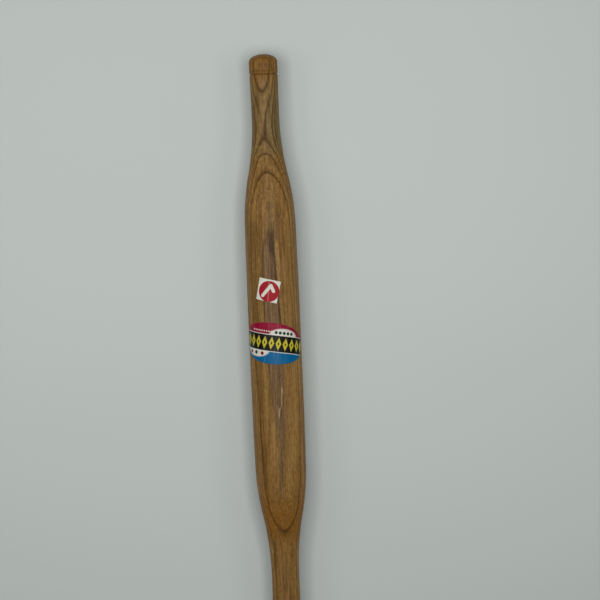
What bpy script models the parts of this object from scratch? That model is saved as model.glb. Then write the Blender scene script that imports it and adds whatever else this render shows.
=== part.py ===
"""A slim rolling pin turned from one length of wood, with two paper labels stuck round its barrel.

The pin lies along X, with its middle at the origin and its labels on top (+Z). All sizes are in metres.
Half of its outline is drawn out to the tip, as a chain of arcs that run smoothly into one another. The
other half is its mirror image, and a Screw modifier turns the whole outline round the X axis.
"""

import math

import bmesh
import bpy

PIN_LENGTH = 0.355
ROUND_STEPS = 32  # flat sides round the pin, with one of them underneath

# Barrel: a plain cylinder in the middle, and a faint crown out to each shoulder
BARREL_RADIUS = 0.0158
PLAIN_HALF_LENGTH = 0.030
CROWN_RADIUS = 3.0
CROWN_FALL = -0.85  # degrees below level where the crown meets the shoulder

# Shoulder, and the hollow that runs from it into the neck
SHOULDER_RADIUS = 0.150
SHOULDER_FALL = -12.0  # degrees, the steepest part of the outline
HOLLOW_RADIUS = 0.176
NECK_FLARE_RADIUS = 1.45
NECK_FLARE = 1.0  # degrees, by which the neck opens again towards the knob

# Knob at each end, with a bead between two cut rings below it
KNOB_RADIUS = 0.00865
KNOB_LENGTH = 0.0101
KNOB_CORNER_RADIUS = 0.004
TIP_DOME_RADIUS = 0.014
TIP_FLAT_RADIUS = 0.0025
BEAD_WIDTH = 0.0011
INNER_RING_WIDTH = 0.0012
INNER_RING_DEPTH = 0.0005
OUTER_RING_WIDTH = 0.0006
OUTER_RING_DEPTH = 0.0002

# Labels, each placed by its middle: along the pin, and round the barrel from the top towards -Y
LABEL_THICKNESS = 0.0002
LABEL_GAP = 0.0003
SQUARE_LABEL_SIDE = 0.0135
SQUARE_LABEL_ALONG = 0.0340
SQUARE_LABEL_ROUND = -0.0030
SQUARE_LABEL_TILT = -14.0  # degrees
OVAL_LABEL_WIDTH = 0.048
OVAL_LABEL_HEIGHT = 0.025
OVAL_LABEL_ALONG = 0.0018
OVAL_LABEL_ROUND = -0.0023
OVAL_LABEL_TILT = -9.3  # degrees


def clear_scene():
    for obj in list(bpy.data.objects):
        bpy.data.objects.remove(obj)


def make_collection(name):
    collection = bpy.data.collections.new(name)
    bpy.context.scene.collection.children.link(collection)
    return collection


def make_material(name, colour, roughness):
    """A plain non-metallic finish in one colour."""
    material = bpy.data.materials.new(name)
    material.use_nodes = True
    shader = material.node_tree.nodes["Principled BSDF"]
    shader.inputs["Base Color"].default_value = (*colour, 1.0)
    shader.inputs["Roughness"].default_value = roughness
    shader.inputs["Metallic"].default_value = 0.0
    return material


def add_object(name, bm, collection, material):
    mesh = bpy.data.meshes.new(name)
    bm.to_mesh(mesh)
    bm.free()
    mesh.materials.append(material)
    obj = bpy.data.objects.new(name, mesh)
    collection.objects.link(obj)
    return obj


def arc(start, heading, end_heading, radius, steps):
    """The points after start on an arc that turns smoothly from one heading to another.

    A point is (distance along the pin, distance from its axis). Headings are in degrees: 0 runs level
    towards the tip, and a negative one falls towards the axis.
    """
    signed_radius = math.copysign(radius, end_heading - heading)
    first = math.radians(heading)
    points = []
    for step in range(1, steps + 1):
        angle = math.radians(heading + (end_heading - heading) * step / steps)
        along = start[0] + signed_radius * (math.sin(angle) - math.sin(first))
        out = start[1] + signed_radius * (math.cos(first) - math.cos(angle))
        points.append((along, out))
    return points


def barrel_and_neck():
    """The outline from the end of the barrel's plain middle to where the neck begins to flare."""
    points = [(PLAIN_HALF_LENGTH, BARREL_RADIUS)]
    points += arc(points[-1], 0.0, CROWN_FALL, CROWN_RADIUS, 3)
    points += arc(points[-1], CROWN_FALL, SHOULDER_FALL, SHOULDER_RADIUS, 6)
    points += arc(points[-1], SHOULDER_FALL, 0.0, HOLLOW_RADIUS, 6)
    return points


def knob():
    """The outline from the first cut ring, round the bead, the knob and its dome, to the tip's centre."""
    ring = PIN_LENGTH / 2 - KNOB_LENGTH  # centre of the shallow outer ring
    bead_end = ring - OUTER_RING_WIDTH / 2
    bead_start = bead_end - BEAD_WIDTH
    points = [(bead_start - INNER_RING_WIDTH / 2, KNOB_RADIUS - INNER_RING_DEPTH)]
    points.append((bead_start, KNOB_RADIUS - OUTER_RING_DEPTH))
    points.append((bead_start + BEAD_WIDTH / 4, KNOB_RADIUS))
    points.append((bead_end - BEAD_WIDTH / 4, KNOB_RADIUS))
    points.append((ring, KNOB_RADIUS - OUTER_RING_DEPTH))
    points.append((ring + OUTER_RING_WIDTH / 2, KNOB_RADIUS))

    # The corner turns to the heading at which a dome of this radius, centred on the axis, carries on.
    level = (KNOB_RADIUS - KNOB_CORNER_RADIUS) / (TIP_DOME_RADIUS - KNOB_CORNER_RADIUS)
    corner_heading = -math.degrees(math.acos(level))
    flat_heading = -math.degrees(math.acos(TIP_FLAT_RADIUS / TIP_DOME_RADIUS))
    end = arc((0.0, KNOB_RADIUS), 0.0, corner_heading, KNOB_CORNER_RADIUS, 5)
    end += arc(end[-1], corner_heading, flat_heading, TIP_DOME_RADIUS, 3)
    corner_start = PIN_LENGTH / 2 - end[-1][0]
    points.append((corner_start, KNOB_RADIUS))
    points += [(corner_start + along, out) for along, out in end]
    points.append((PIN_LENGTH / 2, 0.0))
    return points


def outline():
    """The whole outline, from the +X tip to the -X tip, with a flaring neck between barrel and knob."""
    inner, outer = barrel_and_neck(), knob()
    flare = arc(inner[-1], 0.0, NECK_FLARE, NECK_FLARE_RADIUS, 3)
    neck_end = (outer[0][0] - INNER_RING_WIDTH / 2, flare[-1][1])
    half = inner + flare[:-1] + [neck_end] + outer
    return list(reversed(half)) + [(-along, out) for along, out in half]


def make_pin(collection):
    bm = bmesh.new()
    corners = [bm.verts.new((along, 0.0, out)) for along, out in outline()]
    for near, far in zip(corners, corners[1:]):
        bm.edges.new((near, far))
    wood = make_material("oiled_teak", (0.23, 0.13, 0.055), 0.5)
    pin = add_object("turned_pin", bm, collection, wood)
    pin.rotation_euler.x = math.pi / ROUND_STEPS  # brings a flat side, and not an edge, underneath

    screw = pin.modifiers.new("turned", "SCREW")
    screw.axis = "X"
    screw.steps = ROUND_STEPS
    screw.render_steps = ROUND_STEPS
    screw.use_merge_vertices = True
    screw.merge_threshold = 0.00001
    return pin


def barrel_radius(along):
    """The barrel's radius this far from the pin's middle, short of the shoulder."""
    past_plain = max(0.0, abs(along) - PLAIN_HALF_LENGTH)
    return BARREL_RADIUS - past_plain**2 / (2 * CROWN_RADIUS)


def wrap(bm, along, around, tilt):
    """Lays a flat label on the barrel: its middle goes to (along, around), and it turns by tilt degrees."""
    turn = math.radians(tilt)
    for vertex in bm.verts:
        across, up, _ = vertex.co
        arc_length = around + across * math.cos(turn) - up * math.sin(turn)
        position = along + across * math.sin(turn) + up * math.cos(turn)
        radius = barrel_radius(position) + LABEL_GAP
        angle = arc_length / BARREL_RADIUS
        vertex.co = (position, -radius * math.sin(angle), radius * math.cos(angle))


def add_thickness(label):
    solidify = label.modifiers.new("paper", "SOLIDIFY")
    solidify.thickness = LABEL_THICKNESS
    solidify.offset = 1.0


def make_square_label(collection):
    bm = bmesh.new()
    bmesh.ops.create_grid(bm, x_segments=8, y_segments=8, size=SQUARE_LABEL_SIDE / 2)
    wrap(bm, SQUARE_LABEL_ALONG, SQUARE_LABEL_ROUND, SQUARE_LABEL_TILT)
    paper = make_material("size_label_paper", (0.70, 0.20, 0.20), 0.45)
    add_thickness(add_object("size_label", bm, collection, paper))


def make_oval_label(collection):
    bm = bmesh.new()
    bmesh.ops.create_grid(bm, x_segments=20, y_segments=12, size=1.0)
    # The square grid is pressed into a disc, and the disc is stretched into the oval.
    for vertex in bm.verts:
        x, y, _ = vertex.co
        vertex.co.x = x * math.sqrt(1 - y * y / 2) * OVAL_LABEL_WIDTH / 2
        vertex.co.y = y * math.sqrt(1 - x * x / 2) * OVAL_LABEL_HEIGHT / 2
    wrap(bm, OVAL_LABEL_ALONG, OVAL_LABEL_ROUND, OVAL_LABEL_TILT)
    paper = make_material("oval_label_paper", (0.10, 0.12, 0.20), 0.35)
    add_thickness(add_object("oval_label", bm, collection, paper))


def main():
    clear_scene()
    collection = make_collection("rolling_pin")
    make_pin(collection)
    make_square_label(collection)
    make_oval_label(collection)


main()
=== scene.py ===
"""A slim rolling pin turned from oiled teak, with two paper labels, lying on a pale board in soft light.

The pin lies along X with its middle at the origin and its labels on top. Lengths are in metres, except in
the materials, where patterns are worked out in millimetres.
"""

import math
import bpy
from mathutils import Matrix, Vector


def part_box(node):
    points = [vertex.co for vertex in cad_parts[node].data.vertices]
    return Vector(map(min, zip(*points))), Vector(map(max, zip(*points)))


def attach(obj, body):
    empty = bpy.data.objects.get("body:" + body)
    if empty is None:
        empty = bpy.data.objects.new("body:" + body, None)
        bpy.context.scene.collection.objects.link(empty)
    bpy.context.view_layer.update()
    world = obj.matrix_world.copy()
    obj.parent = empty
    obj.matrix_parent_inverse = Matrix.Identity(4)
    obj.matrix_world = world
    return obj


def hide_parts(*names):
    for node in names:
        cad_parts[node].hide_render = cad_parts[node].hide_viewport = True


bl_info = {
    "name": "Turned Rolling Pin",
    "version": (1, 0, 0),
    "blender": (4, 5, 0),
    "location": "View3D > Sidebar > Rolling Pin",
    "description": "Builds a one-piece teak rolling pin with its paper labels, and a stage to show it on",
    "category": "Add Mesh",
}

import bmesh
import bpy
from mathutils import Vector, noise

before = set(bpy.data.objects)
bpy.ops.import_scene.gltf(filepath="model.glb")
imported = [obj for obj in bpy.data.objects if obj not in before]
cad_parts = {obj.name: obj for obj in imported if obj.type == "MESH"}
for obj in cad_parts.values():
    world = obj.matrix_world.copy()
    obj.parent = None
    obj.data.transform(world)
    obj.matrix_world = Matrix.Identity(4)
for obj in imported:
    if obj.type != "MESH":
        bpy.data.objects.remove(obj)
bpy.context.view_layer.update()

MM = 0.001
CAD_SIDES = 32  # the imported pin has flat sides, which lie just inside the round one
PIN_LENGTH = 2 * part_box("turned_pin")[1].x
BARREL_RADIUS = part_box("turned_pin")[1].z / math.cos(math.pi / CAD_SIDES)


def linear(hex_colour):
    """An sRGB hex colour as three linear values."""
    channels = [int(hex_colour[i : i + 2], 16) / 255 for i in (1, 3, 5)]
    return tuple(c / 12.92 if c <= 0.04045 else ((c + 0.055) / 1.055) ** 2.4 for c in channels)


# Settings that a user would change


class TurnedPinSettings(bpy.types.PropertyGroup):
    """Sizes of the turned wood, from its middle out to its tips."""

    length: bpy.props.FloatProperty(
        name="Length", description="From tip to tip", default=PIN_LENGTH, unit="LENGTH"
    )
    barrel_radius: bpy.props.FloatProperty(
        name="Barrel Radius", description="At the middle of the pin", default=BARREL_RADIUS, unit="LENGTH"
    )
    plain_half_length: bpy.props.FloatProperty(
        name="Plain Half Length",
        description="From the middle to where the barrel begins to crown",
        default=30 * MM,
        unit="LENGTH",
    )
    shoulder_radius: bpy.props.FloatProperty(
        name="Shoulder Radius", description="Of the curve off the barrel", default=150 * MM, unit="LENGTH"
    )
    hollow_radius: bpy.props.FloatProperty(
        name="Hollow Radius", description="Of the curve into the neck", default=176 * MM, unit="LENGTH"
    )
    knob_radius: bpy.props.FloatProperty(
        name="Knob Radius", description="At its thickest", default=8.65 * MM, unit="LENGTH"
    )
    knob_length: bpy.props.FloatProperty(
        name="Knob Length", description="From the tip to the outer ring", default=10.1 * MM, unit="LENGTH"
    )


class WoodSettings(bpy.types.PropertyGroup):
    """Colours of the teak."""

    pale: bpy.props.FloatVectorProperty(
        name="Pale Wood",
        description="The lightest fibres between growth layers",
        default=linear("#9b7843"),
        subtype="COLOR",
    )
    deep: bpy.props.FloatVectorProperty(
        name="Deep Wood",
        description="The darkest fibres between growth layers",
        default=linear("#6f5026"),
        subtype="COLOR",
    )
    dry: bpy.props.FloatVectorProperty(
        name="Dry Wood",
        description="Where handling has worn the oil off",
        default=linear("#7c6c45"),
        subtype="COLOR",
    )
    # This colour also paints the shade in the cut rings
    layer: bpy.props.FloatVectorProperty(
        name="Layer Line",
        description="The dense wood at the end of each growth layer",
        default=linear("#492c0c"),
        subtype="COLOR",
    )
    soaked: bpy.props.FloatVectorProperty(
        name="Oil-Soaked Wood",
        description="Where a shoulder or a tip cuts across the fibres, which drink in more oil",
        default=linear("#81571f"),
        subtype="COLOR",
    )
    heart_dark: bpy.props.FloatVectorProperty(
        name="Dark Heart Streak",
        description="The darkest strands of the streak along the barrel",
        default=linear("#4e381f"),
        subtype="COLOR",
    )
    heart_pale: bpy.props.FloatVectorProperty(
        name="Pale Heart Streak",
        description="The strands between them",
        default=linear("#856642"),
        subtype="COLOR",
    )


class SizeLabelSettings(bpy.types.PropertyGroup):
    """The small square label."""

    side: bpy.props.FloatProperty(
        name="Side", description="Of the square", default=13.5 * MM, unit="LENGTH"
    )
    along: bpy.props.FloatProperty(
        name="Along", description="From the pin's middle to the label's", default=34.0 * MM, unit="LENGTH"
    )
    around: bpy.props.FloatProperty(
        name="Around",
        description="Round the barrel, from its top to the label's middle",
        default=-3.0 * MM,
        unit="LENGTH",
    )
    tilt: bpy.props.FloatProperty(
        name="Tilt", description="Of the label on the barrel", default=math.radians(-14.0), subtype="ANGLE"
    )
    ink: bpy.props.FloatVectorProperty(
        name="Disc", description="The printed disc", default=linear("#9c1420"), subtype="COLOR"
    )


class OvalLabelSettings(bpy.types.PropertyGroup):
    """The oval label that goes round the barrel."""

    width: bpy.props.FloatProperty(
        name="Width", description="Round the barrel, laid flat", default=48 * MM, unit="LENGTH"
    )
    height: bpy.props.FloatProperty(
        name="Height", description="Along the pin", default=25 * MM, unit="LENGTH"
    )
    along: bpy.props.FloatProperty(
        name="Along", description="From the pin's middle to the label's", default=1.8 * MM, unit="LENGTH"
    )
    around: bpy.props.FloatProperty(
        name="Around",
        description="Round the barrel, from its top to the label's middle",
        default=-2.3 * MM,
        unit="LENGTH",
    )
    tilt: bpy.props.FloatProperty(
        name="Tilt", description="Of the label on the barrel", default=math.radians(-9.3), subtype="ANGLE"
    )
    upper_ink: bpy.props.FloatVectorProperty(
        name="Upper Field", description="The field towards +X", default=linear("#8c0c31"), subtype="COLOR"
    )
    band_ink: bpy.props.FloatVectorProperty(
        name="Band", description="The band across the middle", default=linear("#151517"), subtype="COLOR"
    )
    lower_ink: bpy.props.FloatVectorProperty(
        name="Lower Field", description="The field towards -X", default=linear("#005f8e"), subtype="COLOR"
    )
    lozenge_ink: bpy.props.FloatVectorProperty(
        name="Lozenges", description="The row along the band", default=linear("#c4b62c"), subtype="COLOR"
    )


class StageSettings(bpy.types.PropertyGroup):
    """The board under the pin, the lights and the camera."""

    board: bpy.props.FloatVectorProperty(
        name="Board", description="Colour of the board", default=linear("#c8ceca"), subtype="COLOR"
    )
    overhead_power: bpy.props.FloatProperty(
        name="Overhead Power", description="Of the wide softbox overhead", default=2.87, unit="POWER"
    )
    strip_power: bpy.props.FloatProperty(
        name="Strip Power", description="Of the narrow softbox on each side of it", default=0.5, unit="POWER"
    )
    fill_power: bpy.props.FloatProperty(
        name="Fill Power", description="Of the softbox out to each side", default=0.48, unit="POWER"
    )
    room_strength: bpy.props.FloatProperty(
        name="Room Light", description="Strength of the light from all round", default=0.12, min=0.0
    )
    camera_distance: bpy.props.FloatProperty(
        name="Camera Distance", description="To the pin's axis", default=2.4, unit="LENGTH"
    )
    view_width: bpy.props.FloatProperty(
        name="View Width", description="That the camera takes in", default=366.6 * MM, unit="LENGTH"
    )


# Meshes

SHARP_ANGLE = math.radians(35)  # edges that turn more than this are left sharp


def add_piece(name, bm, *materials):
    """Makes a smooth-shaded object of a finished mesh and links it to the scene."""
    mesh = bpy.data.meshes.new(name)
    bm.to_mesh(mesh)
    bm.free()
    for material in materials:
        mesh.materials.append(material)
    mesh.shade_smooth()
    mesh.set_sharp_from_angle(angle=SHARP_ANGLE)
    piece = bpy.data.objects.new(name, mesh)
    bpy.context.scene.collection.objects.link(piece)
    return piece


def arc(start, heading, end_heading, radius, steps):
    """The points after start on an arc that turns smoothly from one heading to another.

    A point is (distance along the pin, distance from its axis). Headings are in degrees: 0 runs level
    towards the tip, and a negative one falls towards the axis.
    """
    signed_radius = math.copysign(radius, end_heading - heading)
    first = math.radians(heading)
    points = []
    for step in range(1, steps + 1):
        angle = math.radians(heading + (end_heading - heading) * step / steps)
        along = start[0] + signed_radius * (math.sin(angle) - math.sin(first))
        out = start[1] + signed_radius * (math.cos(first) - math.cos(angle))
        points.append((along, out))
    return points


CROWN_RADIUS = 3.0
CROWN_FALL = -0.85  # degrees
SHOULDER_FALL = -12.0  # degrees
NECK_FLARE_RADIUS = 1.45
NECK_FLARE = 1.0  # degrees
KNOB_CORNER_RADIUS = 4 * MM
TIP_DOME_RADIUS = 14 * MM
TIP_FLAT_RADIUS = 2.5 * MM
BEAD_WIDTH = 1.1 * MM
BEAD_CURVE = (25, 1.3 * MM)  # degrees that it rises and falls at its edges, and the radius of its top
BEAD_DROP = 0.08 * MM  # from the knob down to the bead's edges
INNER_RING = (1.2 * MM, 0.5 * MM)  # width and depth of the cut
INNER_RING_DROP = 0.1 * MM  # from the knob down to the ring's edges
OUTER_RING = (0.6 * MM, 0.2 * MM)


def cut_ring(middle, radius, ring):
    """A round-bottomed cut of this width and depth, as points across it."""
    width, depth = ring
    steps = [-0.5, -0.32, -0.16, 0.0, 0.16, 0.32, 0.5]
    return [(middle + step * width, radius - depth * math.cos(math.pi * step) ** 1.5) for step in steps]


def ring_places(pin):
    """How far from the pin's middle the inner and outer cut rings of each knob lie."""
    outer = pin.length / 2 - pin.knob_length
    return outer - OUTER_RING[0] / 2 - BEAD_WIDTH - INNER_RING[0] / 2, outer


def level_run(start, end, radius, steps):
    """Evenly spaced points after start on a straight run along the pin."""
    return [(start + (end - start) * step / steps, radius) for step in range(1, steps + 1)]


def pin_outline(pin):
    """Half of the pin's outline, from its plain middle to the centre of its tip."""
    points = [(0.0, pin.barrel_radius)]
    points += level_run(0.0, pin.plain_half_length, pin.barrel_radius, 12)
    points += arc(points[-1], 0.0, CROWN_FALL, CROWN_RADIUS, 16)
    points += arc(points[-1], CROWN_FALL, SHOULDER_FALL, pin.shoulder_radius, 20)
    points += arc(points[-1], SHOULDER_FALL, 0.0, pin.hollow_radius, 22)
    points += arc(points[-1], 0.0, NECK_FLARE, NECK_FLARE_RADIUS, 14)[:-1]

    inner_ring, outer_ring = ring_places(pin)
    bead_start = inner_ring + INNER_RING[0] / 2
    rise, curve_radius = BEAD_CURVE
    points += cut_ring(inner_ring, pin.knob_radius - INNER_RING_DROP, INNER_RING)
    points += arc((bead_start, pin.knob_radius - BEAD_DROP), rise, -rise, curve_radius, 5)
    points += cut_ring(outer_ring, pin.knob_radius, OUTER_RING)

    level = (pin.knob_radius - KNOB_CORNER_RADIUS) / (TIP_DOME_RADIUS - KNOB_CORNER_RADIUS)
    corner_heading = -math.degrees(math.acos(level))
    flat_heading = -math.degrees(math.acos(TIP_FLAT_RADIUS / TIP_DOME_RADIUS))
    end = arc((0.0, pin.knob_radius), 0.0, corner_heading, KNOB_CORNER_RADIUS, 12)
    end += arc(end[-1], corner_heading, flat_heading, TIP_DOME_RADIUS, 8)
    corner_start = pin.length / 2 - end[-1][0]
    points += level_run(points[-1][0], corner_start, pin.knob_radius, 6)
    points += [(corner_start + along, out) for along, out in end]
    points += [(pin.length / 2, TIP_FLAT_RADIUS / 2), (pin.length / 2, 0.0)]
    return points


def turn(outline, steps):
    """Spins an outline, which starts and ends on the X axis, into a closed mesh."""
    bm = bmesh.new()
    corners = [bm.verts.new((along, 0.0, out)) for along, out in outline]
    edges = [bm.edges.new(pair) for pair in zip(corners, corners[1:])]
    bmesh.ops.spin(
        bm,
        geom=corners + edges,
        cent=(0, 0, 0),
        axis=(1, 0, 0),
        dvec=(0, 0, 0),
        angle=2 * math.pi,
        steps=steps,
        use_merge=True,
    )
    bmesh.ops.remove_doubles(bm, verts=bm.verts, dist=0.001 * MM)
    bmesh.ops.recalc_face_normals(bm, faces=bm.faces)
    return bm


TURNING_STEPS = 144  # round the pin
GOUGE_MARK_DEPTH = 0.03 * MM
GOUGE_MARKS = 450  # to a metre
SANDING_DEPTH = 0.08 * MM
SANDING_WAVES = (35, 60)  # to a metre, along the pin and across it


def hand_finish(bm):
    """Leaves the faint rings of the gouge, and the slight unevenness of sanding by hand."""
    along, across = SANDING_WAVES
    for vertex in bm.verts:
        x, y, z = vertex.co
        rings = noise.noise(Vector((x * GOUGE_MARKS, 0.0, 7.0)))
        waves = noise.noise(Vector((x * along, y * across, z * across)))
        out = Vector((0.0, y, z)).normalized()
        vertex.co += out * (rings * GOUGE_MARK_DEPTH + waves * SANDING_DEPTH)


# Labels

PAPER_THICKNESS = 0.1 * MM
GLUE_THICKNESS = 0.03 * MM


def crown_radius(pin, along):
    """The barrel's radius this far from the pin's middle, short of the shoulder."""
    past_plain = max(0.0, abs(along) - pin.plain_half_length)
    return pin.barrel_radius - past_plain**2 / (2 * CROWN_RADIUS)


def label_sheet(label, cells, shape, lift, highlight_and_wear):
    """A sheet wrapped on the barrel, with its flat place in millimetres kept for the print.

    shape turns a point of the unit square into a place on the flat label. lift gives how far the paper
    stands off the wood there, and highlight_and_wear how far its print is lightened, by painted highlight
    and worn ink.
    """
    pin = bpy.context.scene.turned_pin
    bm = bmesh.new()
    bmesh.ops.create_grid(bm, x_segments=cells[0], y_segments=cells[1], size=1.0)
    flat = bm.verts.layers.float_vector.new("print_place")
    for vertex in bm.verts:
        across, up = shape(vertex.co.x, vertex.co.y)
        vertex[flat] = (across / MM, up / MM, highlight_and_wear(across, up))
        arc_length = label.around + across * math.cos(label.tilt) - up * math.sin(label.tilt)
        along = label.along + across * math.sin(label.tilt) + up * math.cos(label.tilt)
        radius = crown_radius(pin, along) + SANDING_DEPTH / 2 + GLUE_THICKNESS + lift(across, up)
        angle = arc_length / pin.barrel_radius
        vertex.co = (along, -radius * math.sin(angle), radius * math.cos(angle))
    return bm


def add_paper_thickness(piece):
    paper = piece.modifiers.new("paper", "SOLIDIFY")
    paper.thickness = PAPER_THICKNESS
    paper.offset = 1.0
    paper.material_offset = 1
    paper.material_offset_rim = 1


def crease(place, middle, width):
    """How strongly a straight crease shows at this place: 1 on it, and nearly 0 two widths away."""
    return math.exp(-(((place - middle) / width) ** 2))


# Materials


def add_node(tree, kind, inputs=None, **settings):
    """Adds a shader node with its own settings, its sockets linked or set, and returns its outputs."""
    node = tree.nodes.new("ShaderNode" + kind)
    node.location.x = 170 * len(tree.nodes)
    for name, value in settings.items():
        setattr(node, name, value)
    for socket, value in (inputs or {}).items():
        if isinstance(value, bpy.types.NodeSocket):
            tree.links.new(value, node.inputs[socket])
        else:
            node.inputs[socket].default_value = value
    return node.outputs


def new_material(name):
    """An empty material, with its tree and its shader."""
    material = bpy.data.materials.new(name)
    material.use_nodes = True
    tree = material.node_tree
    tree.nodes.clear()
    shader = tree.nodes.new("ShaderNodeBsdfPrincipled")
    output = tree.nodes.new("ShaderNodeOutputMaterial")
    tree.links.new(shader.outputs["BSDF"], output.inputs["Surface"])
    return material, tree, shader


def colour(values):
    return (*values, 1.0)


def draw_curve(socket, points, low, high, handles):
    """Draws a Float Curve through (place, value) points, with places from low to high."""
    curve = socket.node.mapping.curves[0]
    places = [((place - low) / (high - low), value) for place, value in points]
    while len(curve.points) < len(places):
        curve.points.new(0.5, 0.5)
    for point, place in zip(curve.points, places):
        point.location = place
        point.handle_type = handles
    socket.node.mapping.update()


# Length along the grain and width across it, in mm, of each pattern in the wood
FIBRE_BUNDLES = (40, 1.1)
TONE_PATCHES = (110, 5)
LAYER_WAVES = (70, 14)
HEART_FIBRES = (45, 0.9)
PORES = (22, 0.8)  # real ones are 0.3 mm across, and these are drawn coarser so that they show
MOTTLE = (2.6, 1.0)
CUT_ENDS = (1.3, 0.9)  # real ones are 0.2 mm across, and these are drawn coarser so that they show

PITH_DEPTH = 48.0  # mm below the axis to the middle of the tree
LAYER_WANDER = (0.0, 0.6, 0.5)  # mm that the growth layers waver by, along, across and up
HALF_SPAN = 180.0  # mm, the reach of the curves along the pin, each side of its middle
# How far the growth layers rise above straight, in mm, at places along the pin in mm
LAYER_BOW = (
    (-180, -0.6), (-140, -0.8), (-113, -0.2), (-104, -0.45), (-95, 0.3), (-85, 0.8), (-70, 1.0),
    (-50, 0.85), (-30, 0.5), (0, 0.0), (50, 0.2), (90, 0.6), (105, 0.93), (112, 1.0), (116.5, 1.6),
    (122, 2.5), (126, 2.68), (131, 2.76), (137, 2.58), (142, 2.25), (147, 1.75), (150, 1.42), (156, 0.5),
    (165, -0.4), (180, -1.2),
)
BOW_RANGE = 3.0
# How far the middle of the tree lies to the -Y side of the axis, in mm, at places along the pin in mm
PITH_SIDE = (
    (-180, -7.0), (-140, -6.0), (-95, -3.8), (-50, -4.0), (0, -1.0), (60, 0.0), (95, 0.5), (116, 5.5),
    (130, 7.0), (150, 8.0), (180, 7.0),
)
SIDE_RANGE = 10.0
LAYER_SPAN = 16.0  # mm above and below the axis that the growth layers are drawn to
# Height of each growth layer's end above the axis, in mm, and how dark it is. The wood was denser towards
# one end of the tree, so the two ends of the pin show different layers.
LOWER_LAYERS = (
    (-14.8, 0.6), (-13.0, 0.9), (-11.3, 0.7), (-8.9, 1.0), (-7.2, 0.6), (-4.7, 0.9), (-2.8, 0.7),
    (-0.9, 0.9), (1.0, 0.7),
)
NEAR_LAYERS = (*LOWER_LAYERS, (2.4, 0.9), (3.9, 1.0), (5.2, 0.9), (6.8, 1.0), (8.7, 1.0), (10.93, 1.0))
FAR_LAYERS = (*LOWER_LAYERS, (2.6, 0.8), (4.4, 0.4), (7.3, 1.0), (10.93, 1.0))
LAYER_CHANGE = 30.0  # mm each side of the middle, over which one set of layers gives way to the other
# The dense wood at a layer's end, in mm: the width of its line, the slow rise before it, and its edge
BROAD_LINE = 0.45
NARROW_LINE = 0.2
BROAD_BELOW = 6.0  # mm above the axis, under which the lines are broad
LINE_RISE = 0.7
LINE_EDGE = 0.15
RISE_DARKNESS = 0.35  # of the rise, against the line's own
LINE_STRENGTH = 0.8
# Thin resinous lines that run with the fibres: the (X, Y) places in mm that each runs between, half its
# width, and how dark it is
RESIN_LINES = (
    ((149, -2.0), (142, -0.3), 0.45, 0.9),
    ((142, -0.3), (127, 0.7), 0.55, 1.0),
    ((149, 4.9), (143, 3.6), 0.4, 0.6),
    ((143, 3.6), (136, 2.2), 0.4, 0.6),
    ((137, 2.3), (127, 1.9), 0.4, 0.8),
    ((146, 6.5), (124, 6.9), 0.45, 0.75),
    ((166, -6.1), (127, -6.8), 0.4, 0.6),
    ((176, -4.6), (168, -5.2), 0.5, 0.8),
    ((-119, 5.5), (-154, 5.9), 0.65, 0.75),
    ((-22, 11.6), (-86, 9.6), 0.5, 0.55),
    ((63, 4.5), (43, 6.3), 0.7, 0.8),
)
# Where the narrow neck runs so nearly along a growth layer that its line spreads out and fades, in the same
# terms. Thin resinous lines carry it on.
FADED_PATCH = ((144, 1.5), (131, 1.5), 3.0)
# How the oil took, from -1, worn off, to 1, soaked in, at places along the pin in mm
OIL_DEPTH = (
    (-180, 0.6), (-165, 0.1), (-125, 0.15), (-112, 0.9), (-100, 0.8), (-85, 0.3), (-40, 0.1), (60, 0.0),
    (90, 0.1), (110, 0.2), (116, -0.3), (122, -0.6), (135, -0.8), (152, -0.5), (160, -0.2), (168, 0.45),
    (180, 0.55),
)
# How openly the surface cuts across the fibres, from 0 to 1, at places along the pin in mm
OPEN_GRAIN = (
    (-180, 0.0), (-122, 0.0), (-110, 0.8), (-92, 0.9), (-76, 0.1), (0, 0.0), (74, 0.2), (88, 1.0),
    (122, 1.0), (130, 0.2), (180, 0.0),
)
# Edges of the heart streak, in mm to the -Y side of the top, at places along the pin in mm
STREAK_LEFT = (
    (-92, -0.8), (-70, -0.8), (-62, 0.5), (-55, -0.5), (-48, -1.6), (-40, -2.6), (-30, -3.6), (-12, -5.0),
    (15, -6.0), (42, -6.3), (52, -5.8), (60, -4.9), (66, -3.6), (71, -1.6), (92, -1.4),
)
STREAK_RIGHT = (
    (-92, 1.0), (-70, 2.7), (-62, 3.3), (-55, 3.9), (-48, 4.4), (-40, 4.6), (-20, 4.7), (15, 4.0),
    (42, 2.9), (60, 2.4), (70, 2.4), (75, 4.0), (92, 4.6),
)
# How strongly the streak shows, from 0 to 1, at places along the pin in mm
STREAK_STRENGTH = (
    (-94, 0.0), (-84, 0.75), (-70, 0.85), (-60, 0.95), (-50, 1.0), (64, 1.0), (69, 0.85), (74, 0.25),
    (96, 0.0),
)
STREAK_RANGE = 8.0
STREAK_FRAY = 2.4  # mm between the furthest in and furthest out that fibres carry its edge
# Strands of the streak that stand out: the (X, Y) places in mm that each runs between, half its width, and
# how much darker it is, or paler where that is negative
STRANDS = (
    ((69, -0.2), (63, -0.4), 2.0, 0.9),
    ((61, 0.8), (42, 0.7), 0.5, 0.4),
    ((62, -1.7), (30, -2.1), 0.6, 0.6),
    ((58, 3.0), (30, 3.6), 1.2, -0.35),
    ((20, -3.6), (10, -4.0), 0.7, 0.5),
    ((-40, -3.4), (-56, -2.4), 1.3, -0.1),
    ((-64, -1.8), (-84, -0.6), 1.3, 0.25),
)
STRAND_TAPER = 4.0  # how much longer the tapered end of a strand is than its half width
STRAND_FRAY = 2.5  # mm
PALE_FLECKS = (((-27, -2.9), (-34, -2.3), 0.45), ((-37, -1.6), (-42, -0.5), 0.3))
PALE_FLECK_COLOUR = linear("#a88a60")
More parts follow.
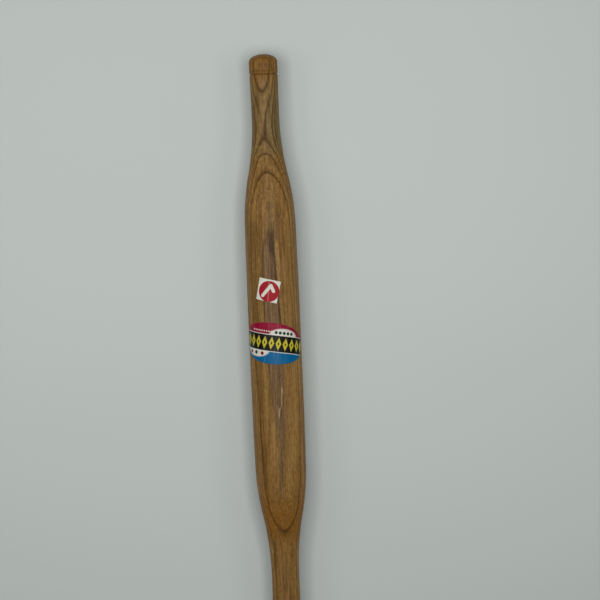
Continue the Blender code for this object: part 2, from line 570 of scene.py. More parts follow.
# Broad bands of wood that grew paler or darker, in the same terms, and how much each adds to the tone
TONE_BANDS = (
    ((-15, -11.5), (-60, -8.5), 3.0, 0.2),
    ((66, 10.5), (-65, 10.5), 2.5, -0.2),
    ((76, 6.0), (60, 6.5), 2.0, -0.2),
    ((78, -6.0), (60, -6.5), 2.0, -0.2),
    ((156, 0.0), (140, 1.0), 1.5, 0.2),
    ((60, -3.6), (44, -4.0), 0.9, 0.3),
    ((-50, 3.2), (-68, 2.5), 1.2, 0.2),
    ((-62, 9.6), (-92, 8.6), 1.0, -0.35),
    ((-72, -6.0), (-90, -5.5), 2.0, 0.18),
)
DEEPEST_TONE = 0.43
PALEST_TONE = 1.03
LEAST_WORN = 2.0  # mm to the +Y side of the neck's top, where its oil has worn off the least
# Painted shade in the cut rings
RING_SHADE = ((0.7, 0.4), (0.35, 0.3))  # half width in mm, and darkness, in the inner and outer ring


def along_curve(tree, along, points, reach):
    """A value in mm that changes along the pin through these points, none of them beyond reach."""
    share = add_node(tree, "MapRange", {"Value": along, "From Min": -HALF_SPAN, "From Max": HALF_SPAN})[0]
    curve = add_node(tree, "FloatCurve", {"Value": share})[0]
    places = [(place, 0.5 + value / reach / 2) for place, value in points]
    draw_curve(curve, places, -HALF_SPAN, HALF_SPAN, "AUTO_CLAMPED")
    return add_node(tree, "MapRange", {"Value": curve, "To Min": -reach, "To Max": reach})[0]


def stretched(tree, millimetres, size):
    """Pattern space in which one unit is this long down the grain and this wide across it, in mm."""
    length, width = size
    scale = (1 / length, 1 / width, 1 / width)
    return add_node(tree, "VectorMath", {0: millimetres, 1: scale}, operation="MULTIPLY")[0]


def segment_distance(tree, place, start, end):
    """Distance in mm from each place to the straight stroke between two points."""
    begin, stroke = Vector((*start, 0.0)), Vector((*end, 0.0)) - Vector((*start, 0.0))
    offset = add_node(tree, "VectorMath", {0: place, 1: begin}, operation="SUBTRACT")[0]
    run = add_node(
        tree, "VectorMath", {0: offset, 1: stroke / stroke.length_squared}, operation="DOT_PRODUCT"
    )["Value"]
    share = add_node(tree, "Clamp", {"Value": run})[0]
    foot = add_node(tree, "VectorMath", {0: stroke, "Scale": share}, operation="SCALE")[0]
    return add_node(tree, "VectorMath", {0: offset, 1: foot}, operation="DISTANCE")["Value"]


def growth_height(tree, millimetres):
    """How far up through the growth layers each point lies, in mm above the axis."""
    slow = stretched(tree, millimetres, LAYER_WAVES)
    waves = add_node(tree, "TexNoise", {"Vector": slow, "Scale": 1.0, "Detail": 1.0})["Color"]
    centred = add_node(tree, "VectorMath", {0: waves, 1: (0.5, 0.5, 0.5)}, operation="SUBTRACT")[0]
    shift = add_node(tree, "VectorMath", {0: centred, 1: LAYER_WANDER}, operation="MULTIPLY")[0]
    moved = add_node(tree, "VectorMath", {0: millimetres, 1: shift}, operation="ADD")[0]
    place = add_node(tree, "SeparateXYZ", {0: moved})
    bow = along_curve(tree, place["X"], LAYER_BOW, BOW_RANGE)
    side = along_curve(tree, place["X"], PITH_SIDE, SIDE_RANGE)
    straight = add_node(tree, "Math", {0: place["Z"], 1: bow}, operation="SUBTRACT")[0]
    from_pith = add_node(tree, "Math", {0: straight, 1: PITH_DEPTH}, operation="ADD")[0]
    aside = add_node(tree, "Math", {0: place["Y"], 1: side}, operation="ADD")[0]
    spoke = add_node(tree, "CombineXYZ", {"Y": aside, "Z": from_pith})[0]
    radius = add_node(tree, "VectorMath", {0: spoke}, operation="LENGTH")["Value"]
    return add_node(tree, "Math", {0: radius, 1: PITH_DEPTH}, operation="SUBTRACT")[0]


def layer_lines(tree, height, layers):
    """Darkness of the dense wood that ends each growth layer: slow to rise, and quick to stop."""
    share = add_node(
        tree, "MapRange", {"Value": height, "From Min": -LAYER_SPAN, "From Max": LAYER_SPAN}
    )[0]
    lines = add_node(tree, "FloatCurve", {"Value": share})[0]
    points = [(-LAYER_SPAN, 0.0)]
    for end, dark in layers:
        width = BROAD_LINE if end < BROAD_BELOW else NARROW_LINE
        points += [(end - LINE_RISE - width, 0.0), (end - LINE_EDGE - width, RISE_DARKNESS * dark)]
        points += [(end - width, dark), (end, dark), (end + LINE_EDGE, 0.0)]
    points.append((LAYER_SPAN, 0.0))
    draw_curve(lines, points, -LAYER_SPAN, LAYER_SPAN, "VECTOR")
    return lines


def heart_streak(tree, place, fibres):
    """How strongly the heart streak shows, from 0 to 1, and how far in from its edge each point is."""
    left = along_curve(tree, place["X"], STREAK_LEFT, STREAK_RANGE)
    right = along_curve(tree, place["X"], STREAK_RIGHT, STREAK_RANGE)
    past_left = add_node(tree, "Math", {0: place["Y"], 1: left}, operation="ADD")[0]
    from_left = add_node(tree, "Math", {0: past_left, 1: -1.0}, operation="MULTIPLY")[0]
    from_right = add_node(tree, "Math", {0: place["Y"], 1: right}, operation="ADD")[0]
    inside = add_node(tree, "Math", {0: from_left, 1: from_right}, operation="MINIMUM")[0]
    frayed = add_node(tree, "Math", {0: fibres, 1: STREAK_FRAY, 2: inside}, operation="MULTIPLY_ADD")[0]
    depth = add_node(tree, "Math", {0: frayed, 1: STREAK_FRAY / 2}, operation="SUBTRACT")[0]
    shown = add_node(
        tree,
        "MapRange",
        {"Value": depth, "From Min": -0.3, "From Max": 0.5},
        interpolation_type="SMOOTHSTEP",
    )[0]
    strength = along_curve(tree, place["X"], STREAK_STRENGTH, 1.0)
    faded = add_node(tree, "Math", {0: shown, 1: strength}, operation="MULTIPLY")[0]
    on_top = add_node(tree, "Math", {0: place["Z"], 1: 0.0}, operation="GREATER_THAN")[0]
    return add_node(tree, "Math", {0: faded, 1: on_top}, operation="MULTIPLY")[0], depth


def strand(tree, millimetres, fibres, start, end, half_width, taper=STRAND_TAPER):
    """How strongly a strand of fibres shows: 1 along its middle, and 0 past its frayed sides and ends."""
    flat = add_node(tree, "VectorMath", {0: millimetres, 1: (1 / taper, 1.0, 0.0)}, operation="MULTIPLY")[0]
    start, end = ((x / taper, y) for x, y in (start, end))
    distance = segment_distance(tree, flat, start, end)
    frayed = add_node(tree, "Math", {0: fibres, 1: STRAND_FRAY, 2: distance}, operation="MULTIPLY_ADD")[0]
    side = STRAND_FRAY / 2
    return add_node(
        tree,
        "MapRange",
        {"Value": frayed, "From Min": side + half_width * 1.5, "From Max": side + half_width * 0.3},
        interpolation_type="SMOOTHSTEP",
    )[0]


def body_colour(tree, place, millimetres, fibres):
    """Colour of the wood between its lines: pale and deep fibres, oil soaked in, and oil worn off the neck.
    """
    wood = bpy.context.scene.wood
    patch_place = stretched(tree, millimetres, TONE_PATCHES)
    patches = add_node(tree, "TexNoise", {"Vector": patch_place, "Scale": 1.0, "Detail": 2.0})["Fac"]
    tone = add_node(tree, "Math", {0: patches, 1: 0.5, 2: fibres}, operation="MULTIPLY_ADD")[0]
    for start, end, half_width, extra in TONE_BANDS:
        near = strand(tree, millimetres, fibres, start, end, half_width)
        tone = add_node(tree, "Math", {0: near, 1: extra, 2: tone}, operation="MULTIPLY_ADD")[0]
    pale_share = add_node(
        tree,
        "MapRange",
        {"Value": tone, "From Min": DEEPEST_TONE, "From Max": PALEST_TONE},
        interpolation_type="SMOOTHSTEP",
    )[0]
    body = add_node(
        tree, "Mix", {0: pale_share, 6: colour(wood.deep), 7: colour(wood.pale)}, data_type="RGBA"
    )[2]
    oil = along_curve(tree, place["X"], OIL_DEPTH, 1.0)
    soaked = add_node(tree, "Mix", {0: oil, 6: body, 7: colour(wood.soaked)}, data_type="RGBA")[2]

    # The oil has worn off most down the sides
    worn = add_node(tree, "Math", {0: oil, 1: -1.0}, operation="MULTIPLY")[0]
    aside = add_node(tree, "Math", {0: place["Y"], 1: LEAST_WORN}, operation="SUBTRACT")[0]
    off_middle = add_node(tree, "Math", {0: aside}, operation="ABSOLUTE")[0]
    worn_side = add_node(
        tree,
        "MapRange",
        {"Value": off_middle, "From Min": 1.0, "From Max": 7.0, "To Min": 0.35, "To Max": 1.2},
    )[0]
    dry_share = add_node(tree, "Math", {0: worn, 1: worn_side}, operation="MULTIPLY", use_clamp=True)[0]
    return add_node(tree, "Mix", {0: dry_share, 6: soaked, 7: colour(wood.dry)}, data_type="RGBA")[2]


def line_darkness(tree, place, millimetres, fibres):
    """How dark the ends of the growth layers and the resinous lines are, from 0 to 1."""
    height = growth_height(tree, millimetres)
    near_lines = layer_lines(tree, height, NEAR_LAYERS)
    far_lines = layer_lines(tree, height, FAR_LAYERS)
    near_share = add_node(
        tree, "MapRange", {"Value": place["X"], "From Min": -LAYER_CHANGE, "From Max": LAYER_CHANGE}
    )[0]
    lines = add_node(tree, "Mix", {0: near_share, 2: far_lines, 3: near_lines})[0]
    patch = strand(tree, millimetres, fibres, *FADED_PATCH, taper=1.0)
    kept = add_node(tree, "Math", {0: 1.0, 1: patch}, operation="SUBTRACT")[0]
    lines = add_node(tree, "Math", {0: lines, 1: kept}, operation="MULTIPLY")[0]
    for start, end, half_width, dark in RESIN_LINES:
        near = strand(tree, millimetres, fibres, start, end, half_width)
        line = add_node(tree, "Math", {0: near, 1: dark}, operation="MULTIPLY")[0]
        lines = add_node(tree, "Math", {0: lines, 1: line}, operation="MAXIMUM")[0]
    return add_node(tree, "Math", {0: lines, 1: LINE_STRENGTH}, operation="MULTIPLY")[0]


def heart_colour(tree, place, millimetres, fibres, depth):
    """Colour of the heart streak: fine dark fibres, darker edges, strands that stand out and pale flecks."""
    wood = bpy.context.scene.wood
    fine_place = stretched(tree, millimetres, HEART_FIBRES)
    fine = add_node(tree, "TexNoise", {"Vector": fine_place, "Scale": 1.0, "Detail": 2.0})["Fac"]
    darkness = add_node(
        tree, "MapRange", {"Value": fine, "From Min": 0.38, "From Max": 0.64, "To Max": 0.65}
    )[0]
    # Its edges darken towards +X
    near_edge = add_node(tree, "MapRange", {"Value": depth, "From Min": 1.1, "From Max": 0.5})[0]
    edge_tone = add_node(
        tree, "MapRange", {"Value": place["X"], "From Min": -60.0, "From Max": 0.0, "To Max": 0.5}
    )[0]
    darkness = add_node(
        tree, "Math", {0: near_edge, 1: edge_tone, 2: darkness}, operation="MULTIPLY_ADD"
    )[0]
    for start, end, half_width, extra in STRANDS:
        near = strand(tree, millimetres, fibres, start, end, half_width)
        darkness = add_node(tree, "Math", {0: near, 1: extra, 2: darkness}, operation="MULTIPLY_ADD")[0]
    heart = add_node(
        tree, "Mix", {0: darkness, 6: colour(wood.heart_pale), 7: colour(wood.heart_dark)}, data_type="RGBA"
    )[2]
    for start, end, half_width in PALE_FLECKS:
        fleck = strand(tree, millimetres, fibres, start, end, half_width)
        heart = add_node(
            tree, "Mix", {0: fleck, 6: heart, 7: colour(PALE_FLECK_COLOUR)}, data_type="RGBA"
        )[2]
    return heart


def pore_pattern(tree, millimetres):
    """Where the pores open, from 0 to 1."""
    pore_place = stretched(tree, millimetres, PORES)
    distance = add_node(tree, "TexVoronoi", {"Vector": pore_place, "Scale": 1.0}, feature="F1")["Distance"]
    return add_node(
        tree,
        "MapRange",
        {"Value": distance, "From Min": 0.4, "From Max": 0.15},
        interpolation_type="SMOOTHSTEP",
    )[0]


def cut_grain(tree, place, millimetres, uncut, pores):
    """The wood's colour with what turning opened: long pores on the barrel, and fibre ends on a shoulder."""
    wood = bpy.context.scene.wood
    open_grain = along_curve(tree, place["X"], OPEN_GRAIN, 1.0)
    pore_depth = add_node(tree, "MapRange", {"Value": open_grain, "To Min": 0.38, "To Max": 0.2})[0]
    pore_share = add_node(tree, "Math", {0: pores, 1: pore_depth}, operation="MULTIPLY")[0]
    pored = add_node(tree, "Mix", {0: pore_share, 6: uncut, 7: colour(wood.layer)}, data_type="RGBA")[2]
    mottle_place = stretched(tree, millimetres, MOTTLE)
    mottle = add_node(tree, "TexNoise", {"Vector": mottle_place, "Scale": 1.0, "Detail": 2.0})["Fac"]
    shade = add_node(
        tree,
        "MapRange",
        {"Value": mottle, "From Min": 0.3, "From Max": 0.7, "To Min": 0.77, "To Max": 1.23},
    )[0]
    mottled = add_node(tree, "VectorMath", {0: pored, "Scale": shade}, operation="SCALE")[0]
    speckle_place = stretched(tree, millimetres, CUT_ENDS)
    speckle = add_node(tree, "TexNoise", {"Vector": speckle_place, "Scale": 1.0})["Fac"]
    centred = add_node(
        tree,
        "MapRange",
        {"Value": speckle, "From Min": 0.3, "From Max": 0.7, "To Min": -0.24, "To Max": 0.24},
    )[0]
    speckled = add_node(tree, "Math", {0: centred, 1: open_grain, 2: 1.0}, operation="MULTIPLY_ADD")[0]
    return add_node(tree, "VectorMath", {0: mottled, "Scale": speckled}, operation="SCALE")[0]


def shade_cut_rings(tree, place, finished):
    """Darkens the cut rings with painted shade."""
    wood = bpy.context.scene.wood
    out = add_node(tree, "Math", {0: place["X"]}, operation="ABSOLUTE")[0]
    for ring, (half_width, dark) in zip(ring_places(bpy.context.scene.turned_pin), RING_SHADE):
        off = add_node(tree, "Math", {0: out, 1: ring / MM}, operation="SUBTRACT")[0]
        distance = add_node(tree, "Math", {0: off}, operation="ABSOLUTE")[0]
        share = add_node(
            tree,
            "MapRange",
            {"Value": distance, "From Min": half_width, "From Max": half_width * 0.4, "To Max": dark},
        )[0]
        finished = add_node(
            tree, "Mix", {0: share, 6: finished, 7: colour(wood.layer)}, data_type="RGBA"
        )[2]
    return finished


def teak_material():
    """Teak, turned, sanded and rubbed with oil, which leaves a soft sheen and no hard highlight.

    The growth layers run flat under the barrel's top, so they surface as arches where the shoulders cut
    through them and as long lines down the sides.
    """
    wood = bpy.context.scene.wood
    material, tree, shader = new_material("oiled_teak_turned_and_sanded")
    coordinates = add_node(tree, "TexCoord")
    millimetres = add_node(
        tree, "VectorMath", {0: coordinates["Object"], "Scale": 1 / MM}, operation="SCALE"
    )[0]
    place = add_node(tree, "SeparateXYZ", {0: millimetres})
    fibre_place = stretched(tree, millimetres, FIBRE_BUNDLES)
    fibres = add_node(
        tree, "TexNoise", {"Vector": fibre_place, "Scale": 1.0, "Detail": 3.0, "Roughness": 0.6}
    )["Fac"]

    body = body_colour(tree, place, millimetres, fibres)
    dark = line_darkness(tree, place, millimetres, fibres)
    layered = add_node(tree, "Mix", {0: dark, 6: body, 7: colour(wood.layer)}, data_type="RGBA")[2]
    streak, depth = heart_streak(tree, place, fibres)
    heart = heart_colour(tree, place, millimetres, fibres, depth)
    streaked = add_node(tree, "Mix", {0: streak, 6: layered, 7: heart}, data_type="RGBA")[2]
    pores = pore_pattern(tree, millimetres)
    grained = cut_grain(tree, place, millimetres, streaked, pores)
    # The cut rings get painted shade
    tree.links.new(shade_cut_rings(tree, place, grained), shader.inputs["Base Color"])

    # Pores hold no polish, and they and the fibres can be felt
    roughness = add_node(tree, "MapRange", {"Value": pores, "To Min": 0.5, "To Max": 0.7})[0]
    tree.links.new(roughness, shader.inputs["Roughness"])
    relief = add_node(tree, "Math", {0: pores, 1: -1.0, 2: fibres}, operation="MULTIPLY_ADD")[0]
    bump = add_node(tree, "Bump", {"Height": relief, "Distance": 0.05 * MM, "Strength": 0.6})["Normal"]
    tree.links.new(bump, shader.inputs["Normal"])
    shader.inputs["IOR"].default_value = 1.45
    shader.inputs["Specular IOR Level"].default_value = 0.15
    shader.inputs["Diffuse Roughness"].default_value = 0.6
    return material


def print_place(tree):
    """Where each point lies on the flat label, in mm, and how far its print is lightened there by painted
    highlight and worn ink.
    """
    stored = add_node(tree, "Attribute", attribute_name="print_place")["Vector"]
    parts = add_node(tree, "SeparateXYZ", {0: stored})
    flat = add_node(tree, "CombineXYZ", {"X": parts["X"], "Y": parts["Y"]})[0]
    return flat, parts["X"], parts["Y"], parts["Z"]


EDGE = 0.08  # mm over which a printed edge goes from one ink to the next


def print_over(tree, under, ink, distance, reach):
    """Prints ink over what is under it wherever distance is less than reach."""
    inked = add_node(
        tree, "MapRange", {"Value": distance, "From Min": reach + EDGE, "From Max": reach - EDGE}
    )[0]
    return add_node(tree, "Mix", {0: inked, 6: under, 7: ink}, data_type="RGBA")[2]


LABEL_WHITE = linear("#d8d5c9")


def highlight_and_wear_print(tree, printed, flat, highlight_and_wear):
    """Lightens the print towards paper along the creases, as painted highlight and worn ink, and leaves the
    print slightly uneven.
    """
    specks = add_node(tree, "TexNoise", {"Vector": flat, "Scale": 1.6, "Detail": 3.0})["Fac"]
    # Painted highlight and worn ink along the creases
    lightened = add_node(tree, "Math", {0: highlight_and_wear, 1: specks}, operation="MULTIPLY")[0]
    worn = add_node(tree, "Mix", {0: lightened, 6: printed, 7: colour(LABEL_WHITE)}, data_type="RGBA")[2]
    shade = add_node(tree, "MapRange", {"Value": specks, "To Min": 0.88, "To Max": 1.12})[0]
    return add_node(tree, "VectorMath", {0: worn, "Scale": shade}, operation="SCALE")[0]


SIZE_DISC = ((0.65, -0.5), 6.4)  # its middle on the label, and its radius, in mm
TICK = ((3.4, 0.2), (1.2, 3.2), (-2.6, -3.6))  # the points that its stroke runs through, in mm
TICK_HALF_WIDTH = 1.0


def size_label_material():
    """Label paper, printed in one ink and lightly coated, which leaves it white and a little dull."""
    label = bpy.context.scene.size_label
    material, tree, shader = new_material("coated_paper_printed_in_one_ink")
    flat, _, _, highlight_and_wear = print_place(tree)
    white = colour(LABEL_WHITE)
    middle, radius = SIZE_DISC
    from_disc = add_node(tree, "VectorMath", {0: flat, 1: (*middle, 0.0)}, operation="DISTANCE")["Value"]
    printed = print_over(tree, white, colour(label.ink), from_disc, radius)
    for start, end in zip(TICK, TICK[1:]):
        distance = segment_distance(tree, flat, start, end)
        printed = print_over(tree, printed, white, distance, TICK_HALF_WIDTH)
    tree.links.new(highlight_and_wear_print(tree, printed, flat, highlight_and_wear), shader.inputs["Base Color"])
    shader.inputs["Roughness"].default_value = 0.42
    shader.inputs["IOR"].default_value = 1.48
    shader.inputs["Specular IOR Level"].default_value = 0.12
    return material


BAYS = (((7.1, 5.2), (8.9, 4.3)), ((-9.5, -4.9), (8.6, 4.2)))  # middle and half size of each, in mm
BAND_MIDDLE = 0.15  # mm above the label's middle
BAND_HALF_HEIGHT = 4.9
BAND_BORDER = 0.4
LOZENGE_SPACING = 4.3
LOZENGE_HALF_SIZE = (1.75, 3.9)
LOZENGE_HOLE = 0.3  # of the lozenge's size
# Middle of each row, spacing and radius of its dots, how far it runs each way, all in mm, and its ink
DOT_ROWS = (
    ((7.1, 6.9), 2.5, 0.95, 6.1, linear("#16392b")),
    ((-9.7, -6.7), 4.5, 1.1, 5.7, linear("#7a1c2b")),
    ((-9.7, -6.7), 4.5, 1.1, 1.3, linear("#1c4a35")),
    ((-6.8, 7.1), 1.5, 0.45, 6.5, LABEL_WHITE),
)


def oval_label_material():
    """Label paper, printed in six inks and varnished, which gives deep colours a clear shine."""
    label = bpy.context.scene.oval_label
    material, tree, shader = new_material("varnished_paper_printed_in_six_inks")
    flat, across, up, highlight_and_wear = print_place(tree)
    white = colour(LABEL_WHITE)
    upper = add_node(tree, "Math", {0: up, 1: 0.0}, operation="GREATER_THAN")[0]
    printed = add_node(
        tree, "Mix", {0: upper, 6: colour(label.lower_ink), 7: colour(label.upper_ink)}, data_type="RGBA"
    )[2]

    # White bays that rise from the band into each field
    for middle, half_size in BAYS:
        offset = add_node(tree, "VectorMath", {0: flat, 1: (*middle, 0.0)}, operation="SUBTRACT")[0]
        scaled = add_node(
            tree,
            "VectorMath",
            {0: offset, 1: (1 / half_size[0], 1 / half_size[1], 1.0)},
            operation="MULTIPLY",
        )[0]
        reach = add_node(tree, "VectorMath", {0: scaled}, operation="LENGTH")["Value"]
        printed = print_over(tree, printed, white, reach, 1.0)

    # Rows of plain round dots: one in each bay, with its middle dot again in another ink, and a fine one
    for middle, spacing, radius, last, ink in DOT_ROWS:
        aside = add_node(tree, "Math", {0: across, 1: middle[0]}, operation="SUBTRACT")[0]
        beside = add_node(tree, "Math", {0: aside, 1: spacing / 2}, operation="PINGPONG")[0]
        above = add_node(tree, "Math", {0: up, 1: middle[1]}, operation="SUBTRACT")[0]
        spot = add_node(tree, "CombineXYZ", {"X": beside, "Y": above})[0]
        from_dot = add_node(tree, "VectorMath", {0: spot}, operation="LENGTH")["Value"]
        off_middle = add_node(tree, "Math", {0: aside}, operation="ABSOLUTE")[0]
        past_end = add_node(tree, "Math", {0: off_middle, 1: last}, operation="GREATER_THAN")[0]
        spared = add_node(
            tree, "Math", {0: past_end, 1: 2 * spacing, 2: from_dot}, operation="MULTIPLY_ADD"
        )[0]
        printed = print_over(tree, printed, colour(ink), spared, radius)

    from_middle = add_node(tree, "Math", {0: up, 1: BAND_MIDDLE}, operation="SUBTRACT")[0]
    off_band = add_node(tree, "Math", {0: from_middle}, operation="ABSOLUTE")[0]
    printed = print_over(tree, printed, white, off_band, BAND_HALF_HEIGHT + BAND_BORDER)
    printed = print_over(tree, printed, colour(label.band_ink), off_band, BAND_HALF_HEIGHT)

    # A row of lozenges along the band, each with a hole in its middle
    half_width, half_height = LOZENGE_HALF_SIZE
    beside = add_node(tree, "Math", {0: across, 1: LOZENGE_SPACING / 2}, operation="PINGPONG")[0]
    wide = add_node(tree, "Math", {0: beside, 1: 1 / half_width}, operation="MULTIPLY")[0]
    lozenge = add_node(
        tree, "Math", {0: off_band, 1: 1 / half_height, 2: wide}, operation="MULTIPLY_ADD"
    )[0]
    printed = print_over(tree, printed, colour(label.lozenge_ink), lozenge, 1.0)
    printed = print_over(tree, printed, colour(label.band_ink), lozenge, LOZENGE_HOLE)

    tree.links.new(highlight_and_wear_print(tree, printed, flat, highlight_and_wear), shader.inputs["Base Color"])
    shader.inputs["Roughness"].default_value = 0.3
    shader.inputs["IOR"].default_value = 1.48
    shader.inputs["Specular IOR Level"].default_value = 0.12
    return material


def paper_back_material():
    """Label paper, cut and glued. Its edge and back are bare fibre, matt and slightly yellow."""
    material, tree, shader = new_material("uncoated_paper_edge")
    coordinates = add_node(tree, "TexCoord")
    fibres = add_node(
        tree, "TexNoise", {"Vector": coordinates["Object"], "Scale": 4000.0, "Detail": 2.0}
    )["Fac"]
    tint = add_node(
        tree,
        "Mix",
        {0: fibres, 6: colour(linear("#b5b0a0")), 7: colour(linear("#d6d2c4"))},
        data_type="RGBA",
    )[2]
    tree.links.new(tint, shader.inputs["Base Color"])
    shader.inputs["Roughness"].default_value = 0.85
    return material


def board_material():
    """Fibreboard, sprayed with matt paint. It is pale, even and slightly green, with no shine."""
    stage = bpy.context.scene.stage
    material, tree, shader = new_material("fibreboard_sprayed_with_matt_paint")
    coordinates = add_node(tree, "TexCoord")
    mottle = add_node(
        tree, "TexNoise", {"Vector": coordinates["Object"], "Scale": 6.0, "Detail": 2.0}
    )["Fac"]
    shade = add_node(tree, "MapRange", {"Value": mottle, "To Min": 0.985, "To Max": 1.015})[0]
    tint = add_node(tree, "VectorMath", {0: stage.board, "Scale": shade}, operation="SCALE")[0]
    tree.links.new(tint, shader.inputs["Base Color"])
    shader.inputs["Roughness"].default_value = 0.8
    shader.inputs["Specular IOR Level"].default_value = 0.2
    return material


# Operators


class ROLLINGPIN_OT_turn_wood(bpy.types.Operator):
    """Turn the whole pin, with its barrel, necks and knobs, from one length of teak"""

    bl_idname = "rollingpin.turn_wood"
    bl_label = "Turn Wood"

    def execute(self, context):
        half = pin_outline(context.scene.turned_pin)
        outline = [(-along, out) for along, out in reversed(half)] + half[1:]
        bm = turn(outline, TURNING_STEPS)
        hand_finish(bm)
        piece = add_piece("teak_pin", bm, teak_material())
        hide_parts("turned_pin")
        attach(piece, "root")
        return {"FINISHED"}


# The small label's lifting corner and the one crease down it
CURL_REACH = 4.5 * MM
CURL_HEIGHT = 0.8 * MM
RIDGE_PLACE = 0.4 * MM
RIDGE_SLANT = 0.12
RIDGE_HEIGHT = 0.05 * MM
# How much the print lightens along the crease, as painted highlight and worn ink
RIDGE_HIGHLIGHT_AND_WEAR = 0.45


class ROLLINGPIN_OT_stick_size_label(bpy.types.Operator):
    """Stick the small square label on the barrel, with one corner lifting"""

    bl_idname = "rollingpin.stick_size_label"
    bl_label = "Stick Size Label"

    def execute(self, context):
        label = context.scene.size_label
        half = label.side / 2

        def shape(x, y):
            return x * half, y * half

        def lift(across, up):
            corner = math.hypot(across - half, up + half)
            curl = max(0.0, 1.0 - corner / CURL_REACH) ** 2
            ridge = crease(across + RIDGE_SLANT * up, RIDGE_PLACE, 0.35 * MM)
            return CURL_HEIGHT * curl + RIDGE_HEIGHT * ridge

        # The print lightens along the crease: painted highlight and worn ink
        def highlight_and_wear(across, up):
            return RIDGE_HIGHLIGHT_AND_WEAR * crease(across + RIDGE_SLANT * up, RIDGE_PLACE, 0.3 * MM)

        bm = label_sheet(label, (54, 54), shape, lift, highlight_and_wear)
        piece = add_piece("square_paper_label", bm, size_label_material(), paper_back_material())
        add_paper_thickness(piece)
        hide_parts("size_label")
        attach(piece, "root")
        return {"FINISHED"}


# The oval label's creases: the place of each across the label, and its height, in mm
CREASES = (
    (-14.0, 0.05), (-8.5, 0.04), (-3.2, 0.07), (2.6, 0.10), (4.4, 0.06), (9.3, 0.08), (15.5, 0.05),
)
CREASE_WANDER = 0.6 * MM
# How much the print lightens along each crease, as painted highlight and worn ink
CREASE_HIGHLIGHT_AND_WEAR = 2.6  # to a millimetre of height


class ROLLINGPIN_OT_stick_oval_label(bpy.types.Operator):
    """Stick the oval label round the barrel, creased where the paper would not lie down"""

    bl_idname = "rollingpin.stick_oval_label"
    bl_label = "Stick Oval Label"

    def execute(self, context):
        label = context.scene.oval_label

        def shape(x, y):
            across = x * math.sqrt(1 - y * y / 2) * label.width / 2
            up = y * math.sqrt(1 - x * x / 2) * label.height / 2
            return across, up

        def creased(across, up, width):
            total = 0.0
            for middle, height in CREASES:
                wander = noise.noise(Vector((middle, up / MM / 6, 0.0))) * CREASE_WANDER
                fade = 0.5 + noise.noise(Vector((middle, up / MM / 5, 9.0)))
                total += height * max(0.0, fade) * crease(across + wander, middle * MM, width)
            return total

        def lift(across, up):
            return creased(across, up, 0.4 * MM) * MM

        # The print lightens along each crease: painted highlight and worn ink
        def highlight_and_wear(across, up):
            return CREASE_HIGHLIGHT_AND_WEAR * creased(across, up, 0.25 * MM)

        bm = label_sheet(label, (180, 90), shape, lift, highlight_and_wear)
        piece = add_piece("oval_paper_label", bm, oval_label_material(), paper_back_material())
        add_paper_thickness(piece)
        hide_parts("oval_label")
        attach(piece, "root")
        return {"FINISHED"}


PIN_LEAN = math.radians(2.49)  # between the pin and the view's upright
CAMERA_TILT = math.radians(-2.0)  # from looking straight down
AIM = (15.0 * MM, 27.5 * MM)  # right of the pin's middle and above it, in the view
BOARD_HALF_SIDE = 4.0
BOARD_GAP = 0.05 * MM  # under the pin, for the unevenness of its sanding
LIGHT_UP = 0.13  # from the pin's middle towards the top of the view
# Place right of the pin's middle, height above it, width and length of each softbox
OVERHEAD = (-0.04, 0.68, 0.64, 0.43)
STRIPS = {"left_strip": (-0.3, 0.68, 0.13, 0.43), "right_strip": (0.21, 0.68, 0.13, 0.43)}
FILLS = {"left_fill": (-0.51, 0.51, 0.21, 0.51), "right_fill": (0.51, 0.51, 0.21, 0.51)}


def add_softbox(name, box, right, upward, turned_in, power):
    """A rectangular light above the pin. It faces straight down, or is turned in to face the pin."""
    across, height, width, length = box
    lamp = bpy.data.lights.new(name, "AREA")
    lamp.shape = "RECTANGLE"
    lamp.size = width
    lamp.size_y = length
    lamp.energy = power
    holder = bpy.data.objects.new(name, lamp)
    holder.location = right * across + upward * LIGHT_UP + Vector((0, 0, height))
    lean = math.atan2(across, height) if turned_in else 0.0
    holder.rotation_euler = (0.0, lean, math.atan2(right.y, right.x))
    holder.visible_camera = False
    bpy.context.scene.collection.objects.link(holder)


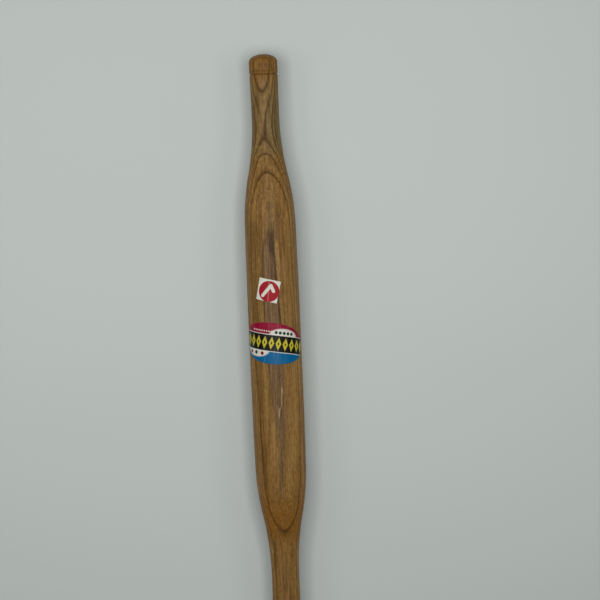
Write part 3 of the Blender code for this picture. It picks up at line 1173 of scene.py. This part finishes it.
class ROLLINGPIN_OT_set_stage(bpy.types.Operator):
    """Lay the pin on a pale board, and set a soft light overhead and the camera that looks down on it"""

    bl_idname = "rollingpin.set_stage"
    bl_label = "Set Stage"

    def execute(self, context):
        scene = context.scene
        stage = scene.stage
        right = Vector((-math.sin(PIN_LEAN), -math.cos(PIN_LEAN), 0.0))
        upward = Vector((math.cos(PIN_LEAN), -math.sin(PIN_LEAN), 0.0))

        bm = bmesh.new()
        bmesh.ops.create_grid(bm, x_segments=8, y_segments=8, size=BOARD_HALF_SIDE)
        bmesh.ops.translate(bm, verts=bm.verts, vec=(0, 0, -scene.turned_pin.barrel_radius - BOARD_GAP))
        board = add_piece("board", bm, board_material())

        add_softbox("overhead_softbox", OVERHEAD, right, upward, False, stage.overhead_power)
        for name, box in STRIPS.items():
            add_softbox(name, box, right, upward, False, stage.strip_power)
        for name, box in FILLS.items():
            add_softbox(name, box, right, upward, True, stage.fill_power)

        world = bpy.data.worlds.new("room")
        world.use_nodes = True
        background = world.node_tree.nodes["Background"]
        background.inputs["Color"].default_value = colour(linear("#e9eeee"))
        background.inputs["Strength"].default_value = stage.room_strength
        scene.world = world
        scene.view_settings.view_transform = "Standard"

        camera = bpy.data.cameras.new("camera")
        camera.lens = camera.sensor_width * stage.camera_distance / stage.view_width
        camera.clip_end = 20.0
        holder = bpy.data.objects.new("camera", camera)
        aim = right * AIM[0] + upward * AIM[1]
        back = Vector((0, 0, math.cos(CAMERA_TILT))) - upward * math.sin(CAMERA_TILT)
        holder.location = aim + back * stage.camera_distance
        holder.rotation_euler = (CAMERA_TILT, 0.0, -math.pi / 2 - PIN_LEAN)
        scene.collection.objects.link(holder)
        scene.camera = holder
        return {"FINISHED"}


class ROLLINGPIN_PT_panel(bpy.types.Panel):
    """The pin's settings, and the steps that build it"""

    bl_idname = "ROLLINGPIN_PT_panel"
    bl_label = "Rolling Pin"
    bl_space_type = "VIEW_3D"
    bl_region_type = "UI"
    bl_category = "Rolling Pin"

    def draw(self, context):
        for name, (group, operator) in SECTIONS.items():
            box = self.layout.box()
            settings = getattr(context.scene, name)
            for prop in group.__annotations__:
                box.prop(settings, prop)
            if operator:
                box.operator(operator.bl_idname)


SECTIONS = {
    "turned_pin": (TurnedPinSettings, ROLLINGPIN_OT_turn_wood),
    "wood": (WoodSettings, None),
    "size_label": (SizeLabelSettings, ROLLINGPIN_OT_stick_size_label),
    "oval_label": (OvalLabelSettings, ROLLINGPIN_OT_stick_oval_label),
    "stage": (StageSettings, ROLLINGPIN_OT_set_stage),
}


def register():
    for name, (group, operator) in SECTIONS.items():
        bpy.utils.register_class(group)
        setattr(bpy.types.Scene, name, bpy.props.PointerProperty(type=group))
        if operator:
            bpy.utils.register_class(operator)
    bpy.utils.register_class(ROLLINGPIN_PT_panel)


def unregister():
    bpy.utils.unregister_class(ROLLINGPIN_PT_panel)
    for name, (group, operator) in reversed(SECTIONS.items()):
        if operator:
            bpy.utils.unregister_class(operator)
        delattr(bpy.types.Scene, name)
        bpy.utils.unregister_class(group)


def main():
    register()
    bpy.ops.rollingpin.turn_wood()
    bpy.ops.rollingpin.stick_size_label()
    bpy.ops.rollingpin.stick_oval_label()
    bpy.ops.rollingpin.set_stage()


if __name__ == "__main__":
    main()
